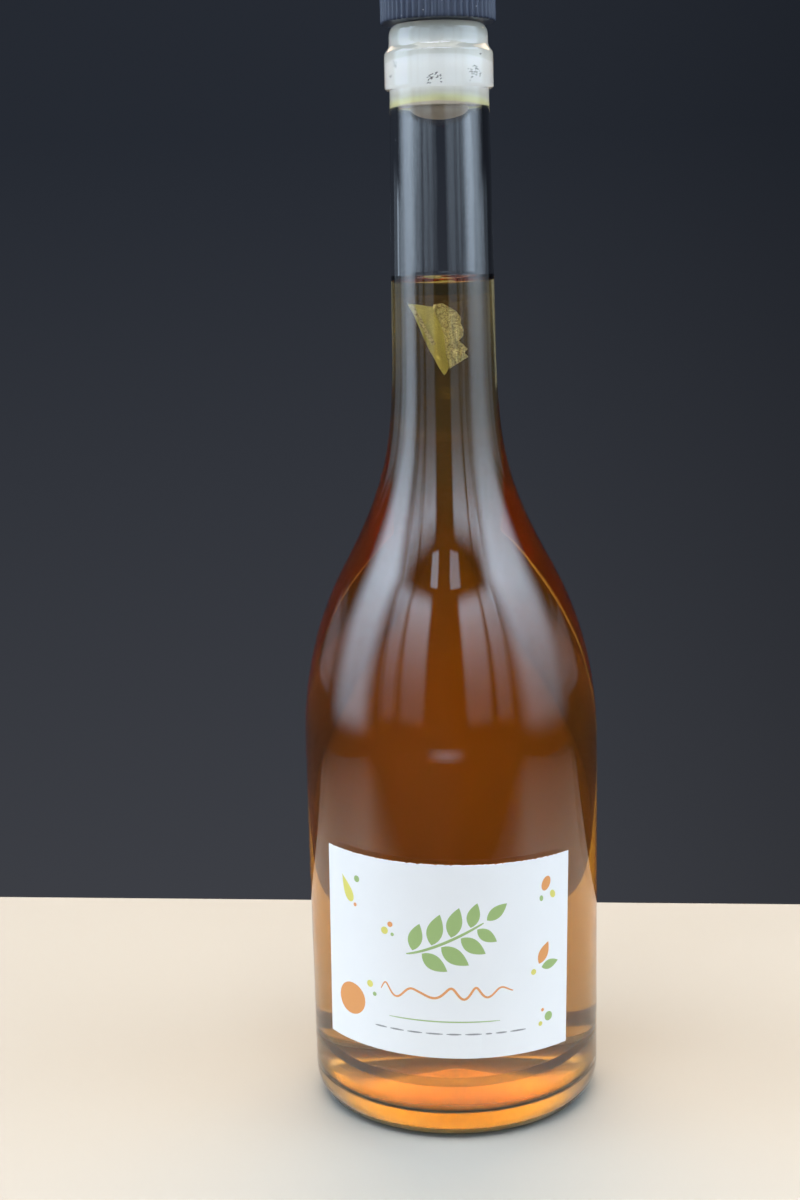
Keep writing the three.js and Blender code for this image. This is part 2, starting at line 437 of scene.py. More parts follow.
def build_speck_group():
    """Sparse small specks as a mask."""
    tree, given, result = new_group("sparse_specks", [
        ("Scale", "NodeSocketFloat", 400),
        ("Size", "NodeSocketFloat", 0.1),
    ], [("Mask", "NodeSocketFloat")])
    cells = tree.nodes.new("ShaderNodeTexVoronoi")
    cells.inputs["Randomness"].default_value = 1
    place = tree.nodes.new("ShaderNodeTexCoord").outputs["Object"]
    tree.links.new(place, cells.inputs["Vector"])
    tree.links.new(given.outputs["Scale"], cells.inputs["Scale"])
    near = maths(tree, "LESS_THAN", cells.outputs["Distance"], given.outputs["Size"])
    split = tree.nodes.new("ShaderNodeSeparateColor")
    tree.links.new(cells.outputs["Color"], split.inputs[0])
    few = maths(tree, "GREATER_THAN", split.outputs[0], 0.75)
    tree.links.new(maths(tree, "MULTIPLY", near, few), result.inputs["Mask"])
    return tree


# Materials

def new_material(name, roughness=0.5):
    material = bpy.data.materials.new(name)
    material.use_nodes = True
    tree = material.node_tree
    shader = tree.nodes["Principled BSDF"]
    shader.inputs["Roughness"].default_value = roughness
    return material, tree, shader


def placed(tree, group_tree, **values):
    """A group placed in a material, with its inputs set; an underscore stands for a space."""
    node = tree.nodes.new("ShaderNodeGroup")
    node.node_tree = group_tree
    for label, value in values.items():
        node.inputs[label.replace("_", " ")].default_value = value
    return node


def bumped(tree, shader, height, distance, strength=1.0):
    bump = tree.nodes.new("ShaderNodeBump")
    bump.inputs["Distance"].default_value = distance
    bump.inputs["Strength"].default_value = strength
    tree.links.new(height, bump.inputs["Height"])
    tree.links.new(bump.outputs[0], shader.inputs["Normal"])


def clear_material(name, ior, tint, density, roughness=0.0):
    """A clear filling: it bends light and takes colour from it by depth."""
    material, tree, shader = new_material(name, roughness)
    shader.inputs["Base Color"].default_value = (1, 1, 1, 1)
    shader.inputs["IOR"].default_value = ior
    shader.inputs["Transmission Weight"].default_value = 1
    depth = tree.nodes.new("ShaderNodeVolumeAbsorption")
    depth.inputs["Color"].default_value = (*tint, 1)
    depth.inputs["Density"].default_value = density
    tree.links.new(depth.outputs[0], tree.nodes["Material Output"].inputs["Volume"])
    return material


GLASS_IOR = 1.5
GLASS_TINT = (0.84, 0.89, 0.82)
GLASS_DENSITY = 4
STIPPLE_ROUGHNESS = 0.34
VINEGAR_IOR = 1.34
VINEGAR_TINT = (0.93, 0.70, 0.0)
VINEGAR_DENSITY = 75
HAZE_COLOUR = (1, 0.62, 0.14, 1)


def glass_material():
    """Clear bottle glass, faintly green where it is looked through lengthways."""
    return clear_material("clear_bottle_glass", GLASS_IOR, GLASS_TINT, GLASS_DENSITY)


def stippled_material():
    """The same glass where the mould stippled it, under the foot."""
    return clear_material("stippled_bottle_glass", GLASS_IOR, GLASS_TINT, GLASS_DENSITY,
                          STIPPLE_ROUGHNESS)


def vinegar_material():
    return clear_material("amber_vinegar", VINEGAR_IOR, VINEGAR_TINT, VINEGAR_DENSITY)


def haze_material(name, density):
    """The fine lees that hang in unfiltered vinegar: they only scatter light."""
    material, tree, shader = new_material(name)
    tree.nodes.remove(shader)
    clear = tree.nodes.new("ShaderNodeBsdfTransparent")
    cloud = tree.nodes.new("ShaderNodeVolumeScatter")
    cloud.inputs["Color"].default_value = HAZE_COLOUR
    cloud.inputs["Density"].default_value = density
    output = tree.nodes["Material Output"]
    tree.links.new(clear.outputs[0], output.inputs["Surface"])
    tree.links.new(cloud.outputs[0], output.inputs["Volume"])
    return material


def print_material(name, colour, shade, mottle):
    """Uncoated paper or ink on it: fine fibre, faint patches."""
    material, tree, shader = new_material(name, roughness=0.72)
    shader.inputs["Specular IOR Level"].default_value = 0.3
    fibre = placed(tree, mottle, Colour=(*colour, 1), Patch_Colour=(*shade, 1),
                   Patch_Scale=180, Grain_Scale=5200, Amount=0.35)
    tree.links.new(fibre.outputs["Colour"], shader.inputs["Base Color"])
    bumped(tree, shader, fibre.outputs["Height"], 0.02 * MM, 0.6)
    return material


# Colours of the stopper, each with that of its patches
FOAM_COLOURS = (0.98, 0.98, 0.94, 1), (0.92, 0.93, 0.88, 1)
HEAD_COLOURS = (0.020, 0.027, 0.048, 1), (0.055, 0.070, 0.112, 1)
HEAD_DUST_COLOUR = (0.30, 0.31, 0.34, 1)
# Colours up the shank, each from a height in mm above its lowest point: the beige boss, the yellow stain
# of vinegar at the rim, and painted shade, which is a darker band behind the ring's sloping shoulder and
# a darker top in the shadow of the head
SHANK_STAIN_AND_SHADE_BANDS = (
    (0, (0.66, 0.56, 0.44)),
    (2.2, (0.66, 0.56, 0.44)),
    (2.6, (0.88, 0.82, 0.42)),
    (3.5, (0.95, 0.93, 0.56)),
    (4.2, (0.93, 0.92, 0.74)),
    (4.9, (0.86, 0.85, 0.76)),
    (5.8, (0.93, 0.92, 0.88)),
    (6.8, (1.0, 1.0, 1.0)),
    (13.2, (1.0, 1.0, 1.0)),
    (13.6, (0.88, 0.88, 0.84)),
    (15.6, (0.84, 0.84, 0.79)),
    (16.2, (0.97, 0.97, 0.95)),
    (18.6, (0.98, 0.98, 0.95)),
    (20.0, (0.84, 0.82, 0.75)),
    (22.3, (0.64, 0.61, 0.50)),
)
# How far the bands lean from front to back, how far they sway, and how closely the sway repeats
BAND_TILT = 0.12
BAND_SWAY = 0.7 * MM
BAND_SCALE = 260


def foam_material(mottle):
    """Off-white foam plastic, stained by vinegar at its end and banded with painted shade."""
    material, tree, shader = new_material("stained_foam_with_painted_shade", roughness=0.6)
    grain = placed(tree, mottle, Colour=FOAM_COLOURS[0], Patch_Colour=FOAM_COLOURS[1],
                   Patch_Scale=320, Grain_Scale=3000, Amount=0.35)
    place = tree.nodes.new("ShaderNodeTexCoord")
    parts = parts_of(tree, place.outputs["Object"])
    drift = tree.nodes.new("ShaderNodeTexNoise")
    drift.inputs["Scale"].default_value = BAND_SCALE
    tree.links.new(place.outputs["Object"], drift.inputs["Vector"])
    sway = maths(tree, "MULTIPLY", maths(tree, "SUBTRACT", drift.outputs[0], 0.5), BAND_SWAY)
    tilt = maths(tree, "MULTIPLY_ADD", parts[1], BAND_TILT, sway)
    height = maths(tree, "ADD", parts[2], tilt)
    above_end = maths(tree, "SUBTRACT", height, shank_low_z)
    top = SHANK_STAIN_AND_SHADE_BANDS[-1][0]
    # Ramp of the vinegar stain and of painted shade, darker behind the ring's sloping shoulder and under
    # the head
    ramp = tree.nodes.new("ShaderNodeValToRGB")
    tree.links.new(maths(tree, "DIVIDE", above_end, top * MM), ramp.inputs[0])
    while len(ramp.color_ramp.elements) < len(SHANK_STAIN_AND_SHADE_BANDS):
        ramp.color_ramp.elements.new(0.5)
    for element, (level, colour) in zip(ramp.color_ramp.elements, SHANK_STAIN_AND_SHADE_BANDS):
        element.position = level / top
        element.color = (*colour, 1)
    tinted = tree.nodes.new("ShaderNodeMix")
    tinted.data_type = "RGBA"
    tinted.blend_type = "MULTIPLY"
    tinted.inputs[0].default_value = 1
    tree.links.new(grain.outputs["Colour"], tinted.inputs[6])
    tree.links.new(ramp.outputs[0], tinted.inputs[7])
    tree.links.new(tinted.outputs[2], shader.inputs["Base Color"])
    bumped(tree, shader, grain.outputs["Height"], 0.03 * MM)
    return material


def head_material(mottle, specks):
    """Satin blue-black moulded plastic with a little dust."""
    material, tree, shader = new_material("satin_black_plastic", roughness=0.38)
    grain = placed(tree, mottle, Colour=HEAD_COLOURS[0], Patch_Colour=HEAD_COLOURS[1],
                   Patch_Scale=240, Grain_Scale=4200, Amount=0.8)
    dust = placed(tree, specks, Scale=900, Size=0.13)
    colour = colour_mix(tree, dust.outputs["Mask"], grain.outputs["Colour"], HEAD_DUST_COLOUR)
    tree.links.new(colour, shader.inputs["Base Color"])
    bumped(tree, shader, grain.outputs["Height"], 0.02 * MM, 0.7)
    return material


def lees_material(name, mottle, colour, shade, cover):
    """A film of vinegar lees that lets some of what is behind it through."""
    material, tree, shader = new_material(name, roughness=0.45)
    grain = placed(tree, mottle, Colour=(*colour, 1), Patch_Colour=(*shade, 1),
                   Patch_Scale=420, Grain_Scale=2600, Amount=0.9)
    tree.links.new(grain.outputs["Colour"], shader.inputs["Base Color"])
    tree.links.new(mapped(tree, grain.outputs["Height"], 0.35, 0.6, first=cover), shader.inputs["Alpha"])
    bumped(tree, shader, grain.outputs["Height"], 0.06 * MM)
    return material


GRIME_COLOUR = (0.05, 0.05, 0.05, 1)
# Pale dust, as pale as the painted highlight on the ring that shares this colour
DUST_AND_GLINT_COLOUR = (0.80, 0.80, 0.78, 1)


def dirt_material(name, colour, roughness):
    """Dirt too fine to show any grain of its own."""
    material, _, shader = new_material(name, roughness)
    shader.inputs["Base Color"].default_value = colour
    return material


# Glass

# How deep the waves of both faces are, how long upwards, and the share and length of finer ones
OUTER_WAVE = 0.045 * MM
OUTER_LENGTH = 17 * MM
OUTER_FINE_SHARE = 0.12
OUTER_FINE_LENGTH = 9 * MM
INNER_WAVE = 0.10 * MM
INNER_LENGTH = 38 * MM
INNER_FINE_SHARE = 0.5
INNER_FINE_LENGTH = 60 * MM
# Heights between which the waves begin and end
OUTER_BEGINS = (10 * MM, 30 * MM)
INNER_BEGINS = (14 * MM, 34 * MM)
INNER_ENDS = (225 * MM, 240 * MM)


def outer_wave(angle, point):
    """The slight unevenness of the blown outside."""
    around = Vector((math.sin(angle), math.cos(angle), 0)) * 3
    field = noise.noise(around + Vector((0, 0, point.y / OUTER_LENGTH)))
    finer = noise.noise(around * 3.5 + Vector((5, 1, point.y / OUTER_FINE_LENGTH)))
    field += OUTER_FINE_SHARE * finer
    return OUTER_WAVE * field * smooth_share(point.y, *OUTER_BEGINS)


def inner_wave(angle, point):
    """Uneven thickness of the wall, from the floor's corner to the neck."""
    around = Vector((math.sin(angle), math.cos(angle), 0))
    field = noise.noise(around * 1.3 + Vector((7, 3, point.y / INNER_LENGTH)))
    finer = noise.noise(around * 3.4 + Vector((2, 9, point.y / INNER_FINE_LENGTH)))
    field += INNER_FINE_SHARE * finer
    near_floor = smooth_share(point.y, *INNER_BEGINS)
    near_shank = 1 - smooth_share(point.y, *INNER_ENDS)
    return INNER_WAVE * field * near_floor * near_shank


def make_glass():
    outside = outside_outline()
    outer_count = len([p for p in outside if p.x > ON_AXIS])

    def wave(i, angle, point):
        return outer_wave(angle, point) if i < outer_count else inner_wave(angle, point)

    outline = outside + cavity_outline(0)[::-1]
    data = turned("glass", outline, glass_material(), wave=wave)
    data.materials.append(stippled_material())
    for face in data.polygons:
        if face.center.z < PUNT_HEIGHT and face.normal.z < -0.5:
            face.material_index = 1
    return shown("glass", data, ["bottle"])


# Vinegar

MENISCUS_DIP = 0.6 * MM
MENISCUS_RISE = 1.7 * MM
MENISCUS_REACH = 1.5 * MM
SURFACE_RINGS = 28


def make_vinegar():
    """The vinegar reaches into the wall and climbs it a little all round."""
    contact_z = level_z + MENISCUS_RISE
    outline = [p for p in cavity_outline(-SEAT) if p.y < contact_z]
    edge_r = outline[-1].x
    for i in range(1, SURFACE_RINGS):
        r = edge_r * (1 - (i / SURFACE_RINGS) ** 2)
        climb = (MENISCUS_RISE + MENISCUS_DIP) * math.exp((r - edge_r) / MENISCUS_REACH)
        outline.append(Vector((r, level_z - MENISCUS_DIP + climb)))
    outline.append(Vector((0, level_z - MENISCUS_DIP)))

    def wave(i, angle, point):
        return inner_wave(angle, point) if point.x > edge_r - 0.1 * MM else 0

    data = turned("vinegar_body", outline, vinegar_material(), wave=wave)
    return shown("vinegar_body", data, ["vinegar"])


# Cores of haze inside the vinegar, nested: distance from the wall in mm, heights in mm between which
# the core draws in to a point, and how densely it scatters
HAZE_CORES = {
    "vinegar_haze": (0.4, None, None, 2.6),
    "settled_haze": (8.0, 72, 170, 14),
}
HAZE_UNDER_LEVEL = 1.2 * MM
HAZE_LEAST_R = 0.3 * MM


def make_haze(name):
    """A core of fine lees; the settled one thins out upwards."""
    inset, taper_from, taper_to, density = HAZE_CORES[name]
    top = taper_to * MM if taper_to else level_z - HAZE_UNDER_LEVEL
    outline = []
    for p in cavity_outline(inset * MM):
        share = smooth_share(p.y, taper_from * MM, taper_to * MM) if taper_to else 0
        if p.y < top and (p.x * (1 - share) > HAZE_LEAST_R or not outline):
            outline.append(Vector((p.x * (1 - share), p.y)))
    outline.append(Vector((0, outline[-1].y)))
    data = turned(name, outline, haze_material(name, density), steps=HAZE_STEPS)
    return shown(name, data)


# Flake of lees that hangs in the neck, its outlines in a box of the flake's width and height

FLAKE_LOW_Z = 187.3 * MM
FLAKE_HIGH_Z = 205 * MM
FLAKE_WIDTH = 11.4 * MM
FLAKE_LEFT = -6.6 * MM
FLAKE_THICKNESS = 0.16 * MM
FLAKE_GRID = 0.32 * MM
# Colours of its films, each with that of its patches and how much it covers where it is thinnest
FIRM_LEES = (0.90, 1.0, 0.66), (0.66, 0.74, 0.42), 0.9
THIN_LEES = (0.97, 1.0, 0.92), (0.74, 0.80, 0.68), 0.4
# The firm sheet, from its left corner along the top and down to the lower tip
FLAKE_SHEET = (
    (0.00, 1.00), (0.18, 0.985), (0.34, 0.96), (0.50, 0.965), (0.60, 0.93), (0.66, 0.84),
    (0.70, 0.70), (0.72, 0.52), (0.74, 0.34), (0.70, 0.16), (0.60, 0.02), (0.57, 0.00),
    (0.50, 0.10), (0.42, 0.24), (0.34, 0.36), (0.25, 0.52), (0.17, 0.70), (0.09, 0.86),
)
# The thin frill along its right side
FLAKE_FRILL = (
    (0.42, 0.98), (0.58, 1.00), (0.70, 0.94), (0.80, 0.89), (0.90, 0.80), (0.88, 0.72),
    (0.94, 0.64), (0.92, 0.54), (0.85, 0.48), (0.93, 0.42), (0.99, 0.36), (0.94, 0.31),
    (1.00, 0.25), (0.88, 0.19), (0.76, 0.13), (0.68, 0.09), (0.62, 0.30), (0.60, 0.55),
    (0.52, 0.75), (0.44, 0.86),
)
# The strip folded over along its left edge
FLAKE_FOLD = (
    (-0.01, 1.01), (0.10, 0.97), (0.22, 0.80), (0.36, 0.58), (0.46, 0.44), (0.40, 0.42),
    (0.29, 0.56), (0.17, 0.75), (0.06, 0.93),
)


def sheet_from(outline, step):
    """Triangles of a flat outline with inner points every step."""
    points = [Vector(p) for p in left_about(outline)]
    rim_count = len(points)
    low_x, high_x = min(p.x for p in points), max(p.x for p in points)
    low_y, high_y = min(p.y for p in points), max(p.y for p in points)
    y = low_y + step
    while y < high_y:
        x = low_x + step
        while x < high_x:
            points.append(Vector((x, y)))
            x += step
        y += step
    found = delaunay_2d_cdt(points, [], [list(range(rim_count))], 0, 1e-9, True)
    flat, faces, origin = found[0], found[2], found[5]
    return flat, [f for f, o in zip(faces, origin) if o]


def crumple(x, z, depth, size):
    """How far the flake stands off its flat sheet: soft folds and sharper creases, downwards."""
    folds = noise.noise(Vector((x / (3.2 * MM), z / (7 * MM), 2.5)))
    creases = abs(noise.noise(Vector((x / size, z / (size * 2.2), 9.1))))
    return depth * (folds - 1.3 * creases)


def flake_sheet(name, outline, material, forward, depth, size):
    """One film of the flake: its place in front of the bottle's middle, and how deep it folds."""
    height = FLAKE_HIGH_Z - FLAKE_LOW_Z
    placed_outline = [(FLAKE_LEFT + x * FLAKE_WIDTH, FLAKE_LOW_Z + y * height) for x, y in outline]
    flat, faces = sheet_from(placed_outline, FLAKE_GRID)
    vertices = []
    for side in (-0.5, 0.5):
        for p in flat:
            off = side * FLAKE_THICKNESS + crumple(p.x, p.y, depth, size) - forward
            vertices.append((p.x, off, p.y))
    closed_sheet(name, vertices, faces, len(flat), [material], [0] * len(faces))


def make_flake(mottle):
    """A firm yellowish sheet with a frill at its right and a fold along its left edge."""
    firm = lees_material("firm_lees", mottle, *FIRM_LEES)
    thin = lees_material("thin_lees", mottle, *THIN_LEES)
    flake_sheet("lees_sheet", FLAKE_SHEET, firm, 0, 0.9 * MM, 3.0 * MM)
    flake_sheet("lees_frill", FLAKE_FRILL, thin, 0.9 * MM, 1.5 * MM, 1.1 * MM)
    flake_sheet("lees_fold", FLAKE_FOLD, thin, 0.7 * MM, 0.5 * MM, 2.4 * MM)


# Label and its print, in millimetres on the flat sheet: x to the right and y up from its middle

LABEL_COLUMNS = 58
LABEL_LIFT = 0.13 * MM
LABEL_BED = -0.03 * MM
WHITE, GREEN, ORANGE, YELLOW, GREY = range(5)
# The paper and the inks in that order, each with the colour of its patches
PRINT_COLOURS = (
    ("label_paper", (0.92, 0.92, 0.92), (0.80, 0.80, 0.80)),
    ("ink_green", (0.37, 0.51, 0.19), (0.42, 0.56, 0.26)),
    ("ink_orange", (0.81, 0.35, 0.12), (0.84, 0.42, 0.18)),
    ("ink_yellow", (0.76, 0.70, 0.16), (0.80, 0.75, 0.26)),
    ("ink_grey", (0.30, 0.30, 0.30), (0.42, 0.42, 0.42)),
)
# How ragged the torn top edge and the cut edges are, and into how many steps the edges are split
TORN = 0.10
CUT = 0.018
EDGE_ACROSS = 150
EDGE_UPWARD = 40


def on_body(x, y, proud):
    """Where a point of the sheet lies once the label is tilted and wrapped."""
    x, y = x * MM, y * MM
    wrap_r = body_radius(LABEL_MIDDLE)
    height = LABEL_MIDDLE + y * math.cos(LABEL_TILT) - x * math.sin(LABEL_TILT)
    angle = (x * math.cos(LABEL_TILT) + y * math.sin(LABEL_TILT)) / wrap_r
    radius = body_radius(height) + proud
    return (radius * math.sin(angle), -radius * math.cos(angle), height)


def turned_by(points, centre, degrees):
    a = math.radians(degrees)
    c, s = math.cos(a), math.sin(a)
    return [(centre[0] + x * c - y * s, centre[1] + x * s + y * c) for x, y in points]


def leaf(base, length, width, degrees, bend=0.0):
    """A pointed leaf that grows from its base in a direction."""
    upper, lower = [], []
    for i in range(13):
        t = i / 12
        half = width / 2 * math.sin(math.pi * t ** 0.85) ** 0.9
        sag = bend * length * t * (1 - t)
        upper.append((length * t, sag + half))
        lower.append((length * t, sag - half))
    outline = upper + lower[-2:0:-1]
    return turned_by(outline, base, degrees)


def disc(centre, width, height=None, degrees=0, points=28):
    height = height or width
    outline = []
    for i in range(points):
        a = 2 * math.pi * i / points
        outline.append((width / 2 * math.cos(a), height / 2 * math.sin(a)))
    return turned_by(outline, centre, degrees)


def drop(centre, width, length, degrees):
    """A drop with its point towards a direction."""
    outline = []
    for i in range(32):
        a = 2 * math.pi * i / 32
        narrow = math.sin(a / 2) ** 1.4
        outline.append((length / 2 * math.cos(a), width / 2 * math.sin(a) * narrow * 1.1))
    return turned_by(outline, centre, degrees)


def stroke(points, width):
    """A brush line of even width, slightly thinner towards its ends."""
    left, right = [], []
    for i, p in enumerate(points):
        before = Vector(points[max(i - 1, 0)])
        after = Vector(points[min(i + 1, len(points) - 1)])
        along = (after - before).normalized()
        t = i / (len(points) - 1)
        half = width / 2 * (0.35 + 0.65 * math.sin(math.pi * t) ** 0.4)
        left.append((p[0] - along.y * half, p[1] + along.x * half))
        right.append((p[0] + along.y * half, p[1] - along.x * half))
    return left + right[::-1]


def flourish(start_x, end_x, y, waves, rise):
    """A loose wavy line that dies away to the right."""
    points = []
    for i in range(181):
        t = i / 180
        turn = 2 * math.pi * waves * (t + 0.035 * math.sin(9 * t))
        height = rise * (0.45 + 0.55 * abs(math.cos(4.2 * t + 0.3))) * (1 - 0.35 * t)
        lean = 0.2 * math.cos(turn)
        points.append((start_x + (end_x - start_x) * t + lean, y + height * math.sin(turn) + 0.9 * t))
    return points


def sprig():
    """A slanting twig with leaves on both sides."""
    shapes = []
    stem = [(-9.5 + 19 * i / 24, 1.5 + 8.5 * (i / 24) ** 1.3) for i in range(25)]
    shapes.append((GREEN, stroke(stem, 0.7)))
    for place, side, length, width in (
        (2, 1, 7.2, 3.6), (5, -1, 7.6, 3.8), (8, 1, 8.2, 4.0), (11, -1, 8.2, 4.0),
        (14, 1, 7.8, 3.8), (17, -1, 7.4, 3.6), (20, 1, 6.4, 3.2), (22, -1, 6.0, 3.0),
    ):
        base = stem[place]
        lean = 24 + side * (52 if side > 0 else 58)
        start = (base[0], base[1] + side * 0.7)
        shapes.append((GREEN, leaf(start, length, width, lean, side * 0.06)))
    shapes.append((GREEN, leaf((10.3, 10.6), 6.4, 3.0, 38)))
    return shapes


def accents():
    """Small coloured discs, drops and leaves round the sheet."""
    return [
        (ORANGE, disc((-25.6, -13.6), 9.0, 8.3, 12)),
        (YELLOW, disc((-19.6, -8.2), 1.8)),
        (GREEN, disc((-18.2, -10.6), 1.1)),
        (YELLOW, drop((-27.0, 15.2), 3.6, 7.4, 118)),
        (GREEN, disc((-23.6, 18.2), 1.7)),
        (ORANGE, disc((-24.2, 11.4), 1.0)),
        (ORANGE, disc((26.4, 18.0), 2.6, 3.8, -24)),
        (YELLOW, disc((28.6, 14.9), 1.6, 2.2, 30)),
        (GREEN, disc((25.0, 14.4), 1.1, 1.5, 10)),
        (ORANGE, leaf((24.6, -2.4), 6.0, 2.9, 62)),
        (GREEN, leaf((25.4, -3.4), 5.4, 2.4, 8)),
        (YELLOW, disc((23.0, -4.2), 1.5)),
        (GREEN, disc((27.8, -16.6), 2.4)),
        (YELLOW, disc((25.3, -18.1), 1.2)),
        (ORANGE, disc((25.9, -14.6), 0.9)),
        (ORANGE, disc((-13.8, 8.4), 1.4)),
        (YELLOW, disc((-15.3, 6.6), 1.9)),
        (GREEN, disc((-13.2, 5.9), 0.9)),
    ]


def line_work():
    """The wavy line under the sprig and the thin rules at the foot of the sheet."""
    shapes = [(ORANGE, stroke(flourish(-16.5, 17.5, -8.6, 4.5, 1.9), 0.62))]
    shapes.append((GREEN, stroke([(-14 + 28 * i / 12, -15.4) for i in range(13)], 0.34)))
    x = -18.0
    draw = random.Random(5)
    while x < 17:
        length = draw.uniform(1.6, 4.4)
        shapes.append((GREY, stroke([(x + length * i / 4, -18.6) for i in range(5)], 0.42)))
        x += length + 0.9
    return shapes


def ragged_sheet():
    """The sheet's outline: straight cuts, and a top edge torn along a perforation."""
    half_w = LABEL_ARC * body_radius(LABEL_MIDDLE) / MM / 2
    half_h = LABEL_HEIGHT / MM / 2
    draw = random.Random(11)
    step_x, step_y = 2 * half_w / EDGE_ACROSS, 2 * half_h / EDGE_UPWARD
    outline = [(-half_w + step_x * i, -half_h) for i in range(EDGE_ACROSS)]
    outline += [(half_w, -half_h + step_y * i) for i in range(EDGE_UPWARD)]
    outline += [(half_w - step_x * i, half_h) for i in range(EDGE_ACROSS)]
    outline += [(-half_w, half_h - step_y * i) for i in range(EDGE_UPWARD)]
    rough = []
    for x, y in outline:
        on_top = y > half_h - 1e-6
        size = TORN if on_top else CUT
        rough.append((x + draw.uniform(-size, size) * 0.5, y - abs(draw.gauss(0, size))))
    return rough


def make_label(mottle):
    """The sheet with its print cut into it, so that each ink is its own faces."""
    shapes = sprig() + accents() + line_work()
    rim = ragged_sheet()
    points = [Vector(p) for p in rim]
    regions = [list(range(len(points)))]
    looks = [WHITE]
    for look, outline in shapes:
        regions.append(list(range(len(points), len(points) + len(outline))))
        points += [Vector(p) for p in left_about(outline)]
        looks.append(look)
    edges = []
    half_w = max(p[0] for p in rim)
    half_h = max(p[1] for p in rim)
    for i in range(1, LABEL_COLUMNS):
        column = half_w * (2 * i / LABEL_COLUMNS - 1)
        edges.append((len(points), len(points) + 1))
        points += [Vector((column, -half_h - 1)), Vector((column, half_h + 1))]
    found = delaunay_2d_cdt(points, edges, regions, 0, 1e-6, True)
    flat, triangles, origin = found[0], found[2], found[5]
    faces, face_looks = [], []
    for triangle, inside in zip(triangles, origin):
        if 0 in inside:
            faces.append(triangle)
            face_looks.append(looks[max(inside)])
    vertices = [on_body(p.x, p.y, LABEL_LIFT) for p in flat]
    vertices += [on_body(p.x, p.y, LABEL_BED) for p in flat]
    inks = [print_material(name, colour, patch, mottle) for name, colour, patch in PRINT_COLOURS]
    return closed_sheet("label_sheet", vertices, faces, len(flat), inks, face_looks,
                        ["label"])


# Stopper

def make_shank(mottle):
    """The shank is pressed to the bore; a shallow boss hangs from the flat rim of its end."""
    wide = BORE_R + SEAT
    rim_z = shank_low_z + SHANK_BOSS_DEPTH
    outline = [Vector((0, shank_low_z))]
    outline += ellipse((0, rim_z), SHANK_BOSS_R, SHANK_BOSS_DEPTH, -90, 0, 14)
    outline += straight(outline[-1], (wide - 0.3 * MM, rim_z), 4)
    outline += [Vector((wide, rim_z + 0.2 * MM))]
    outline += straight(outline[-1], (MOUTH_R + SEAT, mouth_z - MOUTH_EASE), 12)
    outline += [Vector((MOUTH_R - 0.1 * MM, mouth_z)), Vector((0, mouth_z))]
    data = turned("shank", outline, foam_material(mottle))
    return shown("shank", data, ["stopper_shank"])


def make_head(mottle, specks):
    """A ribbed head: every rib is rounded and runs out just above the lower edge."""
    per_rib = 8
    side_low = head_low_z + 0.7 * MM
    side_high = head_high_z - HEAD_ROUND
    outline = [Vector((0, head_low_z))]
    outline += straight((0, head_low_z), (HEAD_R - 1.0 * MM, head_low_z), 3)
    outline += ellipse((HEAD_R - 0.5 * MM, head_low_z + 0.5 * MM), 0.5 * MM, 0.5 * MM, -90, 0, 4)
    outline += straight((HEAD_R, side_low), (HEAD_R, side_high), 10)
    outline += ellipse((HEAD_R - HEAD_ROUND, side_high), HEAD_ROUND, HEAD_ROUND, 0, 90, 8)
    outline += straight(outline[-1], (0, head_high_z), 4)

    def wave(i, angle, point):
        on_side = smooth_share(point.x, HEAD_R - 0.7 * MM, HEAD_R - 0.1 * MM)
        hollow = 0.5 - 0.5 * math.cos(angle * RIBS)
        return -RIB_DEPTH * hollow ** 1.5 * on_side

    data = turned("ribbed_head", outline, head_material(mottle, specks), steps=RIBS * per_rib, wave=wave)
    return shown("ribbed_head", data, ["stopper_head"])


# Marks on the glass

FLECK_DEPTH = 0.03 * MM
# Clusters of scuffs: angle round from the label's middle, height, spread of both, and how many
SCUFFS = (
    (-3, 258.2 * MM, 9, 1.2 * MM, 28),
    (44, 259.6 * MM, 9, 1.3 * MM, 30),
    (-50, 262.0 * MM, 5, 0.8 * MM, 7),
    (-58, 259.0 * MM, 4, 0.8 * MM, 4),
    (53, 263.6 * MM, 1, 0.2 * MM, 2),
)
DUST_COUNT = 90


def outside_radius(height):
    """Radius of the outside of the glass at a height, from its outline."""
    side = [p for p in outside_outline() if p.x > 0.9 * MOUTH_R]
    for low, high in zip(side, side[1:]):
        if low.y <= height <= high.y and high.y > low.y:
            return low.lerp(high, (height - low.y) / (high.y - low.y)).x
    return LIP_R


def fleck(angle, height, length, width, slant):
    """Corners and faces of a small flat lozenge that lies on the glass."""
    out = Vector((math.sin(angle), -math.cos(angle), 0))
    round_way = Vector((math.cos(angle), math.sin(angle), 0))
    along = round_way * math.cos(slant) + Vector((0, 0, math.sin(slant)))
    across = out.cross(along)
    centre = out * outside_radius(height) + Vector((0, 0, height))
    corners = [centre + along * length / 2, centre + across * width / 2, centre - along * length / 2,
               centre - across * width / 2, centre + out * FLECK_DEPTH, centre - out * FLECK_DEPTH]
    faces = []
    for i in range(4):
        after = (i + 1) % 4
        faces += [(i, after, 4), (after, i, 5)]
    return corners, faces


def make_flecks(name, flecks, material):
    vertices, faces = [], []
    for corners, sides in flecks:
        faces += [tuple(len(vertices) + v for v in side) for side in sides]
        vertices += corners
    return shown(name, mesh_from(name, vertices, faces, [material]))


def make_scuffs():
    """Dark scratches on the ring, where other bottles rubbed it."""
    draw = random.Random(3)
    flecks = []
    for degrees, height, spread, rise, count in SCUFFS:
        for _ in range(count):
            angle = math.radians(degrees + draw.gauss(0, spread / 2))
            place = height + draw.gauss(0, rise / 2)
            length = draw.uniform(0.3, 1.0) * MM
            flecks.append(fleck(angle, place, length, draw.uniform(0.13, 0.26) * MM,
                                draw.uniform(-0.4, 0.9)))
    make_flecks("scuffs", flecks, dirt_material("grime", GRIME_COLOUR, 0.8))


